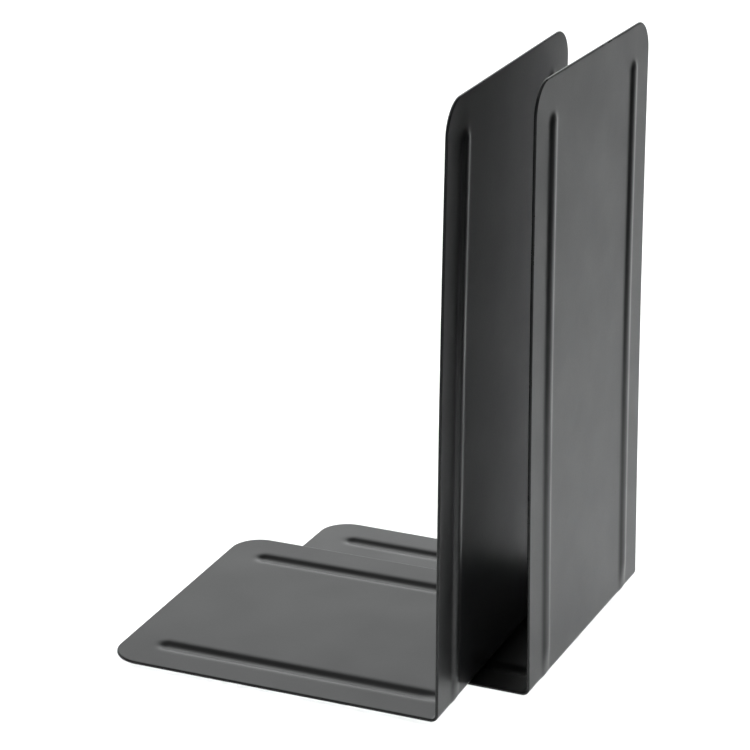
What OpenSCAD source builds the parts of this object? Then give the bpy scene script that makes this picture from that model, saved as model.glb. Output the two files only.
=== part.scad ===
// A pair of sheet-steel book ends, stored one over the other.
// Each is one bent plate with two pressed ribs and four glued rubber feet.
// The front book end lies on the base of the rear one and leans on its near edge.
// +X points from the tips of the bases to the uprights, +Y along the fold, +Z up.
// The origin is at the bottom centre of the pair.

/* [Plate] */
// Height of a plate, from the underside of its base to its top edge
height = 240; // [180:1:300]
// Width of a plate, along the fold
width = 130; // [120:1:170]
// Depth of the base, from the outer face of the upright to the tip
depth = 140; // [110:1:180]
// Thickness of the coated sheet
sheet = 1.2; // [0.8:0.1:1.6]
// Outer radius of the fold between base and upright
fold_r = 3; // [2.5:0.1:5]
// How much thinner the bent sheet is in the fold
fold_thinning = 0.02; // [0.02:0.01:0.06]
// Radius of the rounded corners at the top and at the tip
corner_r = 13; // [10:0.5:20]
// Angle between base and upright of the rear plate, which is sprung inwards
rear_fold = 88.7; // [88:0.1:91]
// Angle between base and upright of the front plate
front_fold = 90; // [88:0.1:91]

/* [Ribs] */
// Width of a pressed rib
rib_w = 8; // [8:0.5:10]
// Height that a rib stands out of the outer face
rib_h = 1.1; // [1:0.1:1.3]
// Width of a rib where it crosses the fold
fold_rib_w = 7; // [5:0.5:7]
// Height of a rib where it crosses the fold, which flattens it
fold_rib_h = 0.7; // [0.4:0.1:0.8]
// Distance from a rib's centre line to the side edge
rib_inset = 18.5; // [16:0.5:30]
// Distance from a rib's end to the top edge or the tip
rib_margin = 14; // [12:0.5:40]

/* [Feet] */
// Diameter of a rubber foot
foot_d = 8; // [6:0.5:8]
// Height of a rubber foot, more than the height of a rib
foot_h = 1.5; // [1.4:0.1:3]
// Chamfer around the sole of a foot
foot_chamfer = 0.4; // [0.2:0.1:0.6]
// Distance from a foot's centre to the side edge
foot_inset = 8.5; // [6:0.5:10]
// How far a heel foot reaches forward under the fold
foot_lead = 0.6; // [0:0.1:0.8]

/* [Stack] */
// How far the front upright stands ahead of the rear one
stack_x = 22.7; // [16:0.1:60]
// How far the front book end is shifted sideways over the rear one
stack_y = 37.6; // [30:0.1:50]
// Turn of the front book end about the vertical
front_turn = 0.7; // [0:0.1:2]
// Hairline gap between the two book ends where they touch
stack_gap = 0.1; // [0.05:0.05:0.3]

/* [Hidden] */
$fn = 96;

coat_colour = [0.16, 0.165, 0.17];
foot_colour = [0.05, 0.05, 0.05];

// A rib is a circular arc in section, with its width as the chord and its height as the rise.
function arc_r(chord, rise) = (chord * chord / 4 + rise * rise) / (2 * rise);
rib_r = arc_r(rib_w, rib_h);
rib_depth = rib_r - rib_h;
fold_rib_r = arc_r(fold_rib_w, fold_rib_h);
fold_rib_axis = fold_r + fold_rib_h - fold_rib_r;
rib_places = [rib_inset, width - rib_inset];

// The flat legs reach this far into the thinner fold, so that the solids join.
fold_lap = 0.1;
fold_skin = fold_thinning / 2;

// Feet stand on the flat of the base: at the fold, and where the tip's corners start.
heel_x = -(fold_r + foot_d / 2 - foot_lead);
tip_x = -(depth - corner_r);
near_y = foot_inset;
far_y = width - foot_inset;

// The far feet of the front book end stand on the rear base while its underside rests on
// the near edge of that base, so it tips towards its near side.
front_tilt = atan(foot_h / (far_y - foot_d / 2 - stack_y));
rear_top_z = foot_h + sheet;

// Extent of the pair in plan, from which its centre follows.
reach_x = stack_x + depth * cos(front_turn) + (width - corner_r) * sin(front_turn);
reach_y = stack_y * cos(front_tilt) + (height - corner_r) * sin(front_tilt);
centre_x = (rib_h - reach_x) / 2;
centre_y = (width - reach_y) / 2;

// Outline of a flat leg of the plate: x runs from the fold to the free end.
module leg_outline(length) {
  translate([-fold_lap, 0])
    square([length - corner_r + fold_lap, width]);
  translate([0, corner_r])
    square([length, width - 2 * corner_r]);
  for (y = [corner_r, width - corner_r])
    translate([length - corner_r, y])
      circle(corner_r);
}

// A bar from start to length with a domed end, which shapes a rib's outside or its hollow.
module rib_bar(start, length, r) {
  translate([start, 0, 0])
    rotate([0, 90, 0])
      cylinder(h = length - start, r = r);
  translate([length, 0, 0])
    sphere(r);
}

// A flat leg with its two ribs. The outer face is at z = 0, and the ribs stand out below it.
module leg(length) {
  rib_length = length - rib_margin - rib_w / 2;
  difference() {
    union() {
      linear_extrude(sheet)
        leg_outline(length);
      for (y = rib_places)
        intersection() {
          translate([0, y, rib_depth])
            rib_bar(-fold_lap, rib_length, rib_r);
          translate([-fold_lap, y - rib_w, -2 * rib_h])
            cube([length, 2 * rib_w, 2 * rib_h + sheet / 2]);
        }
    }
    for (y = rib_places)
      translate([0, y, rib_depth])
        rib_bar(-2 * fold_lap, rib_length, rib_r - sheet);
  }
}

// Section of the fold with its two ribs: x is the distance from the fold's axis.
module fold_section() {
  difference() {
    union() {
      translate([fold_r - sheet + fold_skin, 0])
        square([sheet - fold_thinning, width]);
      for (y = rib_places)
        intersection() {
          translate([fold_rib_axis, y])
            circle(fold_rib_r);
          translate([fold_r - sheet / 2, y - rib_w])
            square([2 * rib_h + sheet, 2 * rib_w]);
        }
    }
    for (y = rib_places)
      translate([fold_rib_axis, y])
        circle(fold_rib_r - sheet);
  }
}

// One plate: the base, the fold and the upright, with the outer face of the heel at x = 0.
module plate(fold_angle) {
  color(coat_colour) {
    translate([-fold_r, 0, 0])
      mirror([1, 0, 0])
        leg(depth - fold_r);
    translate([-fold_r, width, fold_r])
      rotate([90, 0, 0])
        rotate([0, 0, -90])
          rotate_extrude(angle = 180 - fold_angle)
            fold_section();
    translate([-fold_r, 0, fold_r])
      rotate([0, fold_angle - 90, 0])
        translate([fold_r, 0, 0])
          rotate([0, -90, 0])
            leg(height - fold_r);
  }
}

// One rubber foot, glued under the base.
module foot(x, y) {
  color(foot_colour)
    translate([x, y, -foot_h]) {
      cylinder(h = foot_chamfer, d1 = foot_d - 2 * foot_chamfer, d2 = foot_d);
      translate([0, 0, foot_chamfer])
        cylinder(h = foot_h - foot_chamfer, d = foot_d);
    }
}

// Place of the rear book end, on the surface.
module at_rear() {
  translate([-centre_x, -centre_y, foot_h])
    children();
}

// Place of the front book end, on the rear base and tipped over its near edge.
module at_front() {
  translate([-centre_x, -centre_y, rear_top_z + stack_gap])
    rotate([front_tilt, 0, 0])
      translate([-stack_x, -stack_y, 0])
        rotate([0, 0, front_turn])
          children();
}

module rear_plate() { at_rear() plate(rear_fold); }
module rear_foot_heel_near() { at_rear() foot(heel_x, near_y); }
module rear_foot_heel_far() { at_rear() foot(heel_x, far_y); }
module rear_foot_tip_near() { at_rear() foot(tip_x, near_y); }
module rear_foot_tip_far() { at_rear() foot(tip_x, far_y); }
module front_plate() { at_front() plate(front_fold); }
module front_foot_heel_near() { at_front() foot(heel_x, near_y); }
module front_foot_heel_far() { at_front() foot(heel_x, far_y); }
module front_foot_tip_near() { at_front() foot(tip_x, near_y); }
module front_foot_tip_far() { at_front() foot(tip_x, far_y); }

rear_plate();
rear_foot_heel_near();
rear_foot_heel_far();
rear_foot_tip_near();
rear_foot_tip_far();
front_plate();
front_foot_heel_near();
front_foot_heel_far();
front_foot_tip_near();
front_foot_tip_far();
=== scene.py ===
"""Visual model of a stacked pair of sheet-steel book ends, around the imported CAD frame.

Lengths are in metres. A plate is worked out flat first: s runs along its section from the tip
of the base, through the fold, to the top of the upright; y runs across it, along the fold; and
n stands out of its outer face, which is the underside of the base and the back of the upright.
"""

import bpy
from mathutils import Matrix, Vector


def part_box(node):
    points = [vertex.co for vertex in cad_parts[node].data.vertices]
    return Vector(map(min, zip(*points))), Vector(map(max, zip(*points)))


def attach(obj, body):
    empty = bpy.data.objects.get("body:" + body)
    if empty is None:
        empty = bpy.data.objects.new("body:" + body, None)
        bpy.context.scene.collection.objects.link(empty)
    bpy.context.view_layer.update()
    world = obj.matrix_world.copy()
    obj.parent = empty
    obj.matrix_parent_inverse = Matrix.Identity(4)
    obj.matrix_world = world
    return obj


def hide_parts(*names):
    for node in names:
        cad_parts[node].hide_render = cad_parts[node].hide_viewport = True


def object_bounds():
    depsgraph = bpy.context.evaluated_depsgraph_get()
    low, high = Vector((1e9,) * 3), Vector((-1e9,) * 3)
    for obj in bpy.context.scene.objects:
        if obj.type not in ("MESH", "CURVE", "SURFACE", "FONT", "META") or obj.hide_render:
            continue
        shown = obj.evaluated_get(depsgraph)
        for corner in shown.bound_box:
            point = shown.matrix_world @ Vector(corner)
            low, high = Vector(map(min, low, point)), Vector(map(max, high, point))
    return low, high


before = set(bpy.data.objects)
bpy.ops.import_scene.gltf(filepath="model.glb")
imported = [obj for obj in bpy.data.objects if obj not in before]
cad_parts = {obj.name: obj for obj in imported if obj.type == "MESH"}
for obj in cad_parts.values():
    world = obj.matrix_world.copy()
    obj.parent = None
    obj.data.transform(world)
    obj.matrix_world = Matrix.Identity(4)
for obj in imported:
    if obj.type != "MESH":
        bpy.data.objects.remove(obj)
cad_box = [list(corner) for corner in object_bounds()]

import math

import bpy
import numpy as np
from mathutils import Matrix, Vector

MM = 0.001

# One plate, as in the CAD model.
HEIGHT = 240 * MM
WIDTH = 130 * MM
DEPTH = 140 * MM
SHEET = 1.2 * MM
FOLD_R = 3 * MM
CORNER_R = 13 * MM
REAR_FOLD = 88.7
FRONT_FOLD = 90.0
RIB_H = 1.1 * MM
RIB_INSET = 18.5 * MM
RIB_MARGIN = 14 * MM
RIB_END_R = 4 * MM
FOOT_H = 1.5 * MM
FOOT_D = 8 * MM
FOOT_INSET = 8.5 * MM

# What the visual model adds: softer ribs, which flatten in the fold, rounded cut edges,
# uprights that bow slightly, and feet with a rounded, dished sole.
RIB_FOOT_W = 15 * MM
RIB_STEEP_AT = 3.2 * MM
RIB_RISE = 1.0 * MM
FOLD_RIB_RISE = 0.2 * MM
FOLD_RIB_REACH = 12 * MM
EDGE_R = 0.48 * MM
BOW = 0.6 * MM
FOOT_EDGE_R = 0.3 * MM
DISH_R = 2.6 * MM
DISH_DEPTH = 0.18 * MM

# The stack, as in the CAD model.
STACK_X = 22.7 * MM
STACK_Y = 37.6 * MM
FRONT_TURN = 0.7
STACK_GAP = 0.1 * MM

# Mesh densities. A rib end has run out at RIB_DOME from the end of the plate.
RIB_DOME = RIB_MARGIN + 2.5 * RIB_END_R
SECTION_STEP = 4 * MM
FOLD_RIB_STEP = 0.7 * MM
SIDE_ROWS = (0, 0.15 * MM, 0.6 * MM, 2 * MM, 4.5 * MM)
SIDE_ROW_STEP = 3 * MM
MIDDLE_ROW_STEP = 5 * MM
RIB_ROW_MARGIN = 0.5 * MM
RIB_ROW_STEP = 0.35 * MM
RIB_END_STEP = 0.4 * MM
FOLD_STEPS = 16
CORNER_STEPS = 20
EDGE_STEPS = 4
WALL_STEPS = 2
FOOT_SPINS = 48
DISH_STEPS = 8
SOLE_STEPS = 6

# How worn the coat is: on the rounding of a cut edge, on its flat wall, and beside it.
WEAR_ROUNDING = 1.0
WEAR_WALL = 0.35
WEAR_BORDER = 0.7

COAT_DARK = (0.0022, 0.0024, 0.0025, 1)
COAT_PALE = (0.0125, 0.0130, 0.0132, 1)
RUBBER_DARK = (0.012, 0.012, 0.012, 1)
RUBBER_PALE = (0.03, 0.03, 0.029, 1)


# ---------------------------------------------------------------- plate

def spread(start, end, step):
    """Evenly spaced values from start up to, but not including, end."""
    count = max(1, round((end - start) / step))
    return list(np.linspace(start, end, count, endpoint=False))


def rib_section(gap):
    """Section of a rib: 1 on its centre line, steepest at RIB_STEEP_AT, and 0 at its foot."""
    steep = RIB_STEEP_AT / (RIB_FOOT_W / 2)
    fall = 1 / (steep / 2 + (1 - steep) / 4)
    crown = 1 - fall * gap ** 2 / (2 * steep)
    skirt = fall * (1 - np.minimum(gap, 1)) ** 4 / (4 * (1 - steep) ** 3)
    return np.where(gap < steep, crown, skirt)


class Plate:
    """A bent plate with its two ribs, worked out flat and then folded."""

    def __init__(self, fold_angle):
        self.turn = math.radians(180 - fold_angle)
        self.fold_start = DEPTH - FOLD_R
        self.fold_end = self.fold_start + FOLD_R * self.turn
        self.length = self.fold_end + HEIGHT - FOLD_R
        self.columns = self.make_columns()
        self.rows = self.make_rows()

    def make_columns(self):
        """Places along the section: ("tip", angle), ("flat", s) or ("top", angle)."""
        angles = list(np.linspace(0, math.pi / 2, CORNER_STEPS + 1))
        fold_a = self.fold_start - FOLD_RIB_REACH
        fold_b = self.fold_end + FOLD_RIB_REACH
        top = self.length
        flats = spread(CORNER_R, RIB_DOME, RIB_END_STEP)[1:]
        flats += spread(RIB_DOME, fold_a, SECTION_STEP)
        flats += spread(fold_a, self.fold_start, FOLD_RIB_STEP)
        flats += list(np.linspace(self.fold_start, self.fold_end, FOLD_STEPS, endpoint=False))
        flats += spread(self.fold_end, fold_b, FOLD_RIB_STEP)
        flats += spread(fold_b, top - RIB_DOME, SECTION_STEP)
        flats += spread(top - RIB_DOME, top - CORNER_R, RIB_END_STEP)
        columns = [("tip", a) for a in reversed(angles)]
        columns += [("flat", s) for s in flats]
        columns += [("top", a) for a in angles]
        return columns

    def make_rows(self):
        """Places across the plate, as shares of its width, close together on the ribs."""
        half = RIB_FOOT_W / 2 + RIB_ROW_MARGIN
        near, far = RIB_INSET, WIDTH - RIB_INSET
        rows = list(SIDE_ROWS[:-1])
        rows += spread(SIDE_ROWS[-1], near - half, SIDE_ROW_STEP)
        rows += spread(near - half, near + half, RIB_ROW_STEP)
        rows += spread(near + half, far - half, MIDDLE_ROW_STEP)
        rows += spread(far - half, far + half, RIB_ROW_STEP)
        rows += spread(far + half, WIDTH - SIDE_ROWS[-1], SIDE_ROW_STEP)
        rows += [WIDTH - y for y in reversed(SIDE_ROWS)]
        return np.array(rows) / WIDTH

    def outline(self, inset):
        """s and the lowest y of every column, for the outline drawn in by inset."""
        r = CORNER_R - inset
        s, low = [], []
        for kind, value in self.columns:
            if kind == "flat":
                s.append(value)
                low.append(inset)
                continue
            reach = r * math.sin(value)
            s.append(CORNER_R - reach if kind == "tip" else self.length - CORNER_R + reach)
            low.append(CORNER_R - r * math.cos(value))
        return np.array(s), np.array(low)

    def flat_grid(self, inset):
        """s and y of the whole grid, columns by rows, for the outline drawn in by inset."""
        s, low = self.outline(inset)
        y = low[:, None] + self.rows[None, :] * (WIDTH - 2 * low[:, None])
        return np.repeat(s[:, None], len(self.rows), axis=1), y

    def rib_rise(self, s, y):
        """Height of the ribs over the outer face."""
        start = RIB_MARGIN + RIB_END_R
        end = self.length - start
        along = np.clip(s, start, end)
        middle = (self.fold_start + self.fold_end) / 2
        reach = (self.fold_end - self.fold_start) / 2 + FOLD_RIB_REACH
        away = np.clip(np.abs(s - middle) / reach, 0, 1)
        flatten = 0.5 + 0.5 * np.cos(math.pi * away)
        rise = RIB_RISE + (FOLD_RIB_RISE - RIB_RISE) * flatten
        total = np.zeros_like(s)
        for centre in (RIB_INSET, WIDTH - RIB_INSET):
            total += rib_section(np.hypot(s - along, y - centre) / (RIB_FOOT_W / 2))
        return rise * total

    def skins(self):
        """The outer and the inner face, each as (s, y, n), a sheet's thickness apart."""
        s, y = self.flat_grid(EDGE_R)
        step = 0.02 * MM
        rise = self.rib_rise(s, y)
        slope_s = (self.rib_rise(s + step, y) - self.rib_rise(s - step, y)) / (2 * step)
        slope_y = (self.rib_rise(s, y + step) - self.rib_rise(s, y - step)) / (2 * step)
        long = np.sqrt(1 + slope_s ** 2 + slope_y ** 2)
        outer = (s, y, rise)
        inner = (s + SHEET * slope_s / long, y + SHEET * slope_y / long, rise - SHEET / long)
        return outer, inner

    def fold_up(self, s, y, n):
        """Bends flat coordinates into the plate's own frame: heel at x = 0, underside at z = 0."""
        bend = np.clip((s - self.fold_start) / FOLD_R, 0, self.turn)
        before = np.minimum(s, self.fold_start) - self.fold_start
        after = np.maximum(s, self.fold_end) - self.fold_end
        n = n - BOW * np.sin(math.pi * np.clip(after / (HEIGHT - FOLD_R), 0, 1))
        normal_x, normal_z = np.sin(bend), -np.cos(bend)
        x = -FOLD_R + before + (FOLD_R + n) * normal_x + after * math.cos(self.turn)
        z = FOLD_R + (FOLD_R + n) * normal_z + after * math.sin(self.turn)
        return np.stack([x, y, z], axis=-1)

    def loop(self, grid):
        """The values of a grid around its border, in order."""
        return np.concatenate([grid[:-1, 0], grid[-1, :-1], grid[:0:-1, -1], grid[0, :0:-1]])

    def rim_profile(self):
        """(inset, n) of the rounded cut edge, between the outer and the inner face."""
        quarter = np.linspace(0, math.pi / 2, EDGE_STEPS + 1)
        profile = [(EDGE_R * (1 - math.sin(a)), -EDGE_R * (1 - math.cos(a))) for a in quarter]
        wall = np.linspace(-EDGE_R, EDGE_R - SHEET, WALL_STEPS + 1)
        profile += [(0, n) for n in wall[1:-1]]
        profile += [(inset, -SHEET - n) for inset, n in reversed(profile[:EDGE_STEPS + 1])]
        return profile[1:-1]

    def mesh(self):
        """Vertices, faces, and how near each vertex is to a worn edge, from 0 to 1."""
        outer, inner = self.skins()
        shape = outer[0].shape
        size = shape[0] * shape[1]
        index = np.arange(size).reshape(shape)
        points = [self.fold_up(*outer).reshape(-1, 3), self.fold_up(*inner).reshape(-1, 3)]
        worn = [np.zeros(size), np.zeros(size)]
        border = self.loop(index)
        rings = [border]
        for inset, n in self.rim_profile():
            s, y = self.flat_grid(inset)
            ring_s, ring_y = self.loop(s), self.loop(y)
            rings.append(2 * size + (len(rings) - 1) * len(border) + np.arange(len(border)))
            points.append(self.fold_up(ring_s, ring_y, np.full_like(ring_s, n)))
            worn.append(np.full(len(border), WEAR_ROUNDING if inset > 0 else WEAR_WALL))
        rings.append(border + size)
        worn[0][border] = WEAR_BORDER
        worn[1][border] = WEAR_BORDER
        a, b = index[:-1, :-1], index[1:, :-1]
        c, d = index[1:, 1:], index[:-1, 1:]
        faces = [np.stack([a, b, c, d], -1).reshape(-1, 4)[:, ::-1]]
        faces += [np.stack([a, b, c, d], -1).reshape(-1, 4) + size]
        for upper, lower in zip(rings, rings[1:]):
            next_upper, next_lower = np.roll(upper, -1), np.roll(lower, -1)
            faces.append(np.stack([upper, next_upper, next_lower, lower], -1))
        return np.concatenate(points), np.concatenate(faces), np.concatenate(worn)


def add_mesh(name, points, faces, worn):
    """Makes a smooth-shaded mesh object with its wear as an attribute."""
    mesh = bpy.data.meshes.new(name)
    mesh.from_pydata(points.tolist(), [], faces.tolist())
    mesh.update()
    mesh.polygons.foreach_set("use_smooth", [True] * len(mesh.polygons))
    attribute = mesh.attributes.new("wear", "FLOAT", "POINT")
    attribute.data.foreach_set("value", worn.astype(np.float32))
    piece = bpy.data.objects.new(name, mesh)
    bpy.context.scene.collection.objects.link(piece)
    return piece


def enclosed_volume(points, faces):
    """Volume enclosed by the faces, positive when they face outwards."""
    a, b, c, d = (points[faces[:, k]] for k in range(4))
    half_one = np.einsum("ij,ij->i", a, np.cross(b, c))
    half_two = np.einsum("ij,ij->i", a, np.cross(c, d))
    return (half_one + half_two).sum() / 6


# ---------------------------------------------------------------- placing

rear_low, rear_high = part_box("rear_plate")
REAR_ORIGIN = Vector((rear_low.x + DEPTH, rear_low.y, rear_low.z + RIB_H))


def at_rear():
    """Places a book end as the rear one."""
    return Matrix.Translation(REAR_ORIGIN)


def at_front():
    """Places a book end as the front one, on the rear base and tipped over its near edge."""
    far_y = WIDTH - FOOT_INSET
    tilt = math.atan(FOOT_H / (far_y - FOOT_D / 2 - STACK_Y))
    on_base = REAR_ORIGIN + Vector((0, 0, SHEET + STACK_GAP))
    return (
        Matrix.Translation(on_base)
        @ Matrix.Rotation(tilt, 4, "X")
        @ Matrix.Translation((-STACK_X, -STACK_Y, 0))
        @ Matrix.Rotation(math.radians(FRONT_TURN), 4, "Z")
    )


# ---------------------------------------------------------------- materials

def new_material(name):
    """A material with its node tree and its Principled shader."""
    material = bpy.data.materials.new(name)
    material.use_nodes = True
    return material, material.node_tree, material.node_tree.nodes["Principled BSDF"]


def coat_material():
    """Satin black powder coat: slight cloudiness, fine grain, and edges rubbed a little smooth."""
    material, tree, shader = new_material("black_powder_coat")
    nodes, links = tree.nodes, tree.links
    place = nodes.new("ShaderNodeTexCoord")

    def noise(scale, detail, roughness=0.5):
        node = nodes.new("ShaderNodeTexNoise")
        node.inputs["Scale"].default_value = scale
        node.inputs["Detail"].default_value = detail
        node.inputs["Roughness"].default_value = roughness
        links.new(place.outputs["Object"], node.inputs["Vector"])
        return node.outputs["Fac"]

    def remap(source, low, high, from_low=0.3, from_high=0.7):
        node = nodes.new("ShaderNodeMapRange")
        node.inputs["From Min"].default_value = from_low
        node.inputs["From Max"].default_value = from_high
        node.inputs["To Min"].default_value = low
        node.inputs["To Max"].default_value = high
        links.new(source, node.inputs["Value"])
        return node.outputs["Result"]

    def maths(operation, first, second):
        node = nodes.new("ShaderNodeMath")
        node.operation = operation
        for socket, value in zip(node.inputs, (first, second)):
            if isinstance(value, float):
                socket.default_value = value
            else:
                links.new(value, socket)
        return node.outputs["Value"]

    wear = nodes.new("ShaderNodeAttribute")
    wear.attribute_name = "wear"
    clouds = noise(38, 3)
    grain = noise(2600, 2)
    peel = noise(700, 2)
    rubbed = maths("MULTIPLY", wear.outputs["Fac"], remap(noise(160, 3), 0.0, 1.0, 0.42, 0.62))

    colour = nodes.new("ShaderNodeMix")
    colour.data_type = "RGBA"
    colour.inputs["A"].default_value = COAT_DARK
    colour.inputs["B"].default_value = COAT_PALE
    links.new(maths("ADD", maths("MULTIPLY", rubbed, 0.6), remap(clouds, 0.0, 0.25)),
              colour.inputs["Factor"])
    links.new(colour.outputs["Result"], shader.inputs["Base Color"])

    rough = maths("ADD", remap(clouds, 0.33, 0.38), remap(grain, -0.02, 0.02))
    links.new(maths("SUBTRACT", rough, maths("MULTIPLY", rubbed, 0.08)),
              shader.inputs["Roughness"])
    shader.inputs["IOR"].default_value = 1.38

    fine = nodes.new("ShaderNodeBump")
    fine.inputs["Strength"].default_value = 0.25
    fine.inputs["Distance"].default_value = 0.00002
    links.new(grain, fine.inputs["Height"])
    soft = nodes.new("ShaderNodeBump")
    soft.inputs["Strength"].default_value = 0.3
    soft.inputs["Distance"].default_value = 0.00003
    links.new(peel, soft.inputs["Height"])
    links.new(fine.outputs["Normal"], soft.inputs["Normal"])
    links.new(soft.outputs["Normal"], shader.inputs["Normal"])
    return material


def rubber_material():
    """Matt black moulded rubber with a fine spark-eroded grain."""
    material, tree, shader = new_material("foot_rubber")
    nodes, links = tree.nodes, tree.links
    place = nodes.new("ShaderNodeTexCoord")
    grain = nodes.new("ShaderNodeTexNoise")
    grain.inputs["Scale"].default_value = 3000
    grain.inputs["Detail"].default_value = 3
    links.new(place.outputs["Object"], grain.inputs["Vector"])
    dust = nodes.new("ShaderNodeTexNoise")
    dust.inputs["Scale"].default_value = 420
    links.new(place.outputs["Object"], dust.inputs["Vector"])
    tint = nodes.new("ShaderNodeMix")
    tint.data_type = "RGBA"
    tint.inputs["A"].default_value = RUBBER_DARK
    tint.inputs["B"].default_value = RUBBER_PALE
    links.new(dust.outputs["Fac"], tint.inputs["Factor"])
    links.new(tint.outputs["Result"], shader.inputs["Base Color"])
    rough = nodes.new("ShaderNodeMapRange")
    rough.inputs["To Min"].default_value = 0.6
    rough.inputs["To Max"].default_value = 0.85
    links.new(grain.outputs["Fac"], rough.inputs["Value"])
    links.new(rough.outputs["Result"], shader.inputs["Roughness"])
    bump = nodes.new("ShaderNodeBump")
    bump.inputs["Strength"].default_value = 0.4
    bump.inputs["Distance"].default_value = 0.00003
    links.new(grain.outputs["Fac"], bump.inputs["Height"])
    links.new(bump.outputs["Normal"], shader.inputs["Normal"])
    return material


def floor_material():
    """A plain, pale, matt floor."""
    material, _, shader = new_material("pale_floor")
    shader.inputs["Base Color"].default_value = (0.9, 0.9, 0.9, 1)
    shader.inputs["Roughness"].default_value = 0.9
    shader.inputs["Specular IOR Level"].default_value = 0.1
    return material


# ---------------------------------------------------------------- pieces

COAT = coat_material()
RUBBER = rubber_material()


def add_plate(name, node, body, fold_angle, where):
    """Adds a coated plate in place of its CAD node."""
    points, faces, worn = Plate(fold_angle).mesh()
    if enclosed_volume(points, faces) < 0:
        raise ValueError(name + " is inside out")
    piece = add_mesh(name, points, faces, worn)
    piece.data.transform(where)
    piece.data.materials.append(COAT)
    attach(piece, body)
    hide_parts(node)


def foot_profile():
    """(radius, height under the base) of a foot, from the middle of its sole to its glued top."""
    r, h, edge = FOOT_D / 2, FOOT_H, FOOT_EDGE_R
    profile = [(DISH_R * t, DISH_DEPTH * (0.5 + 0.5 * math.cos(math.pi * t)))
               for t in np.linspace(0, 1, DISH_STEPS + 1)]
    profile += [(r - edge + edge * math.sin(a), edge * (1 - math.cos(a)))
                for a in np.linspace(0, math.pi / 2, SOLE_STEPS + 1)]
    profile += [(r, h - 0.15 * MM), (r - 0.05 * MM, h - 0.04 * MM), (r - 0.12 * MM, h)]
    return profile


def add_foot(node, body, where):
    """A moulded rubber foot turned from its profile: rounded sole edge and a shallow dish."""
    low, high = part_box(node)
    spins = FOOT_SPINS
    profile = foot_profile()
    points, faces = [(0, 0, profile[0][1])], []
    for radius, height in profile[1:]:
        for k in range(spins):
            angle = 2 * math.pi * k / spins
            points.append((radius * math.cos(angle), radius * math.sin(angle), height))
    points.append((0, 0, FOOT_H))
    last = len(points) - 1
    rings = len(profile) - 1
    for k in range(spins):
        m = (k + 1) % spins
        faces.append((0, 1 + m, 1 + k))
        for ring in range(rings - 1):
            a = 1 + ring * spins
            faces.append((a + k, a + m, a + spins + m, a + spins + k))
        top = 1 + (rings - 1) * spins
        faces.append((top + k, top + m, last))
    mesh = bpy.data.meshes.new(node.replace("foot", "rubber_foot"))
    mesh.from_pydata(points, [], faces)
    mesh.update()
    mesh.polygons.foreach_set("use_smooth", [True] * len(mesh.polygons))
    piece = bpy.data.objects.new(mesh.name, mesh)
    bpy.context.scene.collection.objects.link(piece)
    rotation = where.to_3x3().to_4x4()
    mesh.transform(Matrix.Translation((low + high) / 2) @ rotation
                   @ Matrix.Translation((0, 0, -FOOT_H / 2)))
    mesh.materials.append(RUBBER)
    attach(piece, body)
    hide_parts(node)


def add_book_end(side, fold_angle, where):
    """Adds the bent sheet and the four feet of one book end."""
    body = side + "_book_end"
    add_plate(side + "_bent_sheet", side + "_plate", body, fold_angle, where)
    for end in ("heel", "tip"):
        for edge in ("near", "far"):
            add_foot("_".join((side, "foot", end, edge)), body, where)


add_book_end("rear", REAR_FOLD, at_rear())
add_book_end("front", FRONT_FOLD, at_front())


# ---------------------------------------------------------------- studio

FLOOR_HALF = 6.0
CAMERA_AZIMUTH = 22.80
CAMERA_ELEVATION = 19.246
CAMERA_ROLL = 0.978
CAMERA_DISTANCE = 1.13
CAMERA_LENS = 139.5
AIM_OFFSET = Vector((4.7, -19.4, -9.0)) * MM

WORLD = 0.1
WASH_GLOW = 0.5
POOL_GLOW = 0.62
SHADE_GLOW = 0.14
BACK_GLOW = 2.15
UPPER_GLOW = 1.6
TOP_GLOW = 1.3
FILL_GLOW = 0.7
LIGHT_TINT = (0.980, 0.998, 1.0)

# The pool and shade lights hang over this spot of floor behind the book ends, turned by this.
POOL_X, POOL_Y = -0.443, 1.236
POOL_TURN = (0, 0, math.radians(-10))
POOL_SPREAD = 50


def add_floor():
    """Adds the floor and gives it back."""
    half = FLOOR_HALF
    mesh = bpy.data.meshes.new("floor")
    corners = [(-half, -half, 0), (half, -half, 0), (half, half, 0), (-half, half, 0)]
    mesh.from_pydata(corners, [], [(0, 1, 2, 3)])
    floor = bpy.data.objects.new("floor", mesh)
    bpy.context.scene.collection.objects.link(floor)
    mesh.materials.append(floor_material())
    return floor


def add_card(name, start, end, height):
    """A black upright card from start to end, out of the camera's sight, that darkens reflections."""
    (x0, y0), (x1, y1) = start, end
    corners = [(x0, y0, 0), (x1, y1, 0), (x1, y1, height), (x0, y0, height)]
    mesh = bpy.data.meshes.new(name)
    mesh.from_pydata(corners, [], [(0, 1, 2, 3)])
    card = bpy.data.objects.new(name, mesh)
    bpy.context.scene.collection.objects.link(card)
    material, _, shader = new_material(name)
    shader.inputs["Base Color"].default_value = (0.01, 0.01, 0.01, 1)
    shader.inputs["Roughness"].default_value = 0.95
    mesh.materials.append(material)
    card.visible_camera = False
    card.visible_shadow = False
    card.visible_diffuse = False


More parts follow.
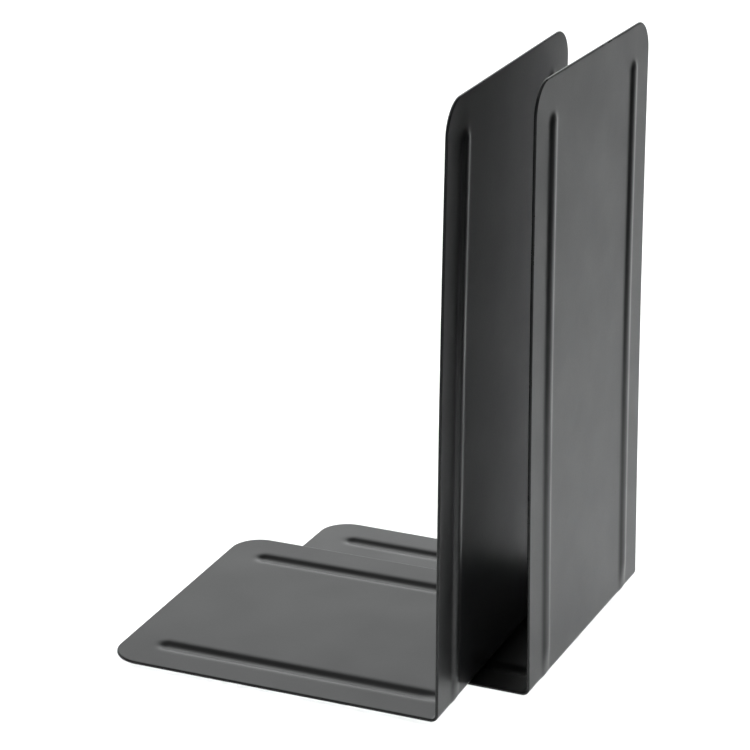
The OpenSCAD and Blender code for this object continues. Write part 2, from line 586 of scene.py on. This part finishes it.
def add_camera():
    """Adds the camera of the main view, aimed near the middle of the CAD box."""
    azimuth, elevation = math.radians(CAMERA_AZIMUTH), math.radians(CAMERA_ELEVATION)
    roll = math.radians(CAMERA_ROLL)
    aim = (Vector(cad_box[0]) + Vector(cad_box[1])) / 2 + AIM_OFFSET
    back = Vector((math.sin(azimuth) * math.cos(elevation),
                   -math.cos(azimuth) * math.cos(elevation), math.sin(elevation)))
    level = Vector((math.cos(azimuth), math.sin(azimuth), 0))
    upright = back.cross(level)
    right = level * math.cos(roll) + upright * math.sin(roll)
    up = upright * math.cos(roll) - level * math.sin(roll)
    data = bpy.data.cameras.new("camera")
    data.sensor_width = 36
    data.lens = CAMERA_LENS
    camera = bpy.data.objects.new("camera", data)
    bpy.context.scene.collection.objects.link(camera)
    turn = Matrix((right, up, back)).transposed().to_4x4()
    camera.matrix_world = Matrix.Translation(aim + back * CAMERA_DISTANCE) @ turn
    bpy.context.scene.camera = camera


def add_area(name, place, aim, size, radiance, beam=180):
    """A soft panel of size (wide, high) that shines radiance towards aim."""
    wide, high = size
    data = bpy.data.lights.new(name, "AREA")
    data.shape = "RECTANGLE"
    data.size, data.size_y = size
    data.energy = radiance * math.pi * wide * high
    data.spread = math.radians(beam)
    light = bpy.data.objects.new(name, data)
    bpy.context.scene.collection.objects.link(light)
    light.location = place
    light.rotation_euler = (Vector(aim) - Vector(place)).to_track_quat("-Z", "Y").to_euler()
    light.visible_camera = False
    data.color = LIGHT_TINT
    return light


def light_only(light, lit, blocking):
    """Lets a light reach only the objects in lit, and be shaded only by those in blocking."""
    for name, members in (("receiver", lit), ("blocker", blocking)):
        group = bpy.data.collections.new(light.name + "_" + name)
        for member in members:
            group.objects.link(member)
        setattr(light.light_linking, name + "_collection", group)


def add_world():
    """A faint, even white world."""
    world = bpy.data.worlds.new("studio")
    bpy.context.scene.world = world
    world.use_nodes = True
    background = world.node_tree.nodes["Background"]
    background.inputs["Color"].default_value = (1, 1, 1, 1)
    background.inputs["Strength"].default_value = WORLD


floor = add_floor()
add_camera()
add_world()
pieces = [item for item in bpy.data.objects if item.type == "MESH" and item.name != "floor"]
add_card("right_card", (0.35, 0.0), (0.35, 0.42), 0.22)
add_card("front_card", (-0.35, -0.32), (0.05, -0.32), 0.25)
wash = add_area("floor_wash", (0, 0, 2.5), (0, 0.0001, 0), (11, 11), WASH_GLOW)
light_only(wash, [floor], [floor])
pool_aim = (POOL_X, POOL_Y, 0)
pool = add_area("floor_pool", (POOL_X, POOL_Y, 0.5), pool_aim, (1.84, 2.9), POOL_GLOW, POOL_SPREAD)
pool.rotation_euler = POOL_TURN
light_only(pool, [floor], [floor])
shade = add_area("floor_shade", (POOL_X, POOL_Y, 0.8), pool_aim, (1.7, 2.7), SHADE_GLOW, POOL_SPREAD)
shade.rotation_euler = POOL_TURN
light_only(shade, [floor], pieces)
add_area("backdrop", (-0.97, 2.3, 0.48), (0, 0, 0.48), (1.5, 0.96), BACK_GLOW)
add_area("upper_back", (-0.97, 2.3, 1.56), (0, 0, 1.56), (2.4, 1.2), UPPER_GLOW)
add_area("top", (-0.3, -0.3, 1.8), (0, 0, 0.1), (1.6, 1.4), TOP_GLOW)
add_area("front_fill", (1.2, -1.8, 0.7), (0, 0, 0.1), (2.4, 1.2), FILL_GLOW)
bpy.context.scene.view_settings.view_transform = "Standard"
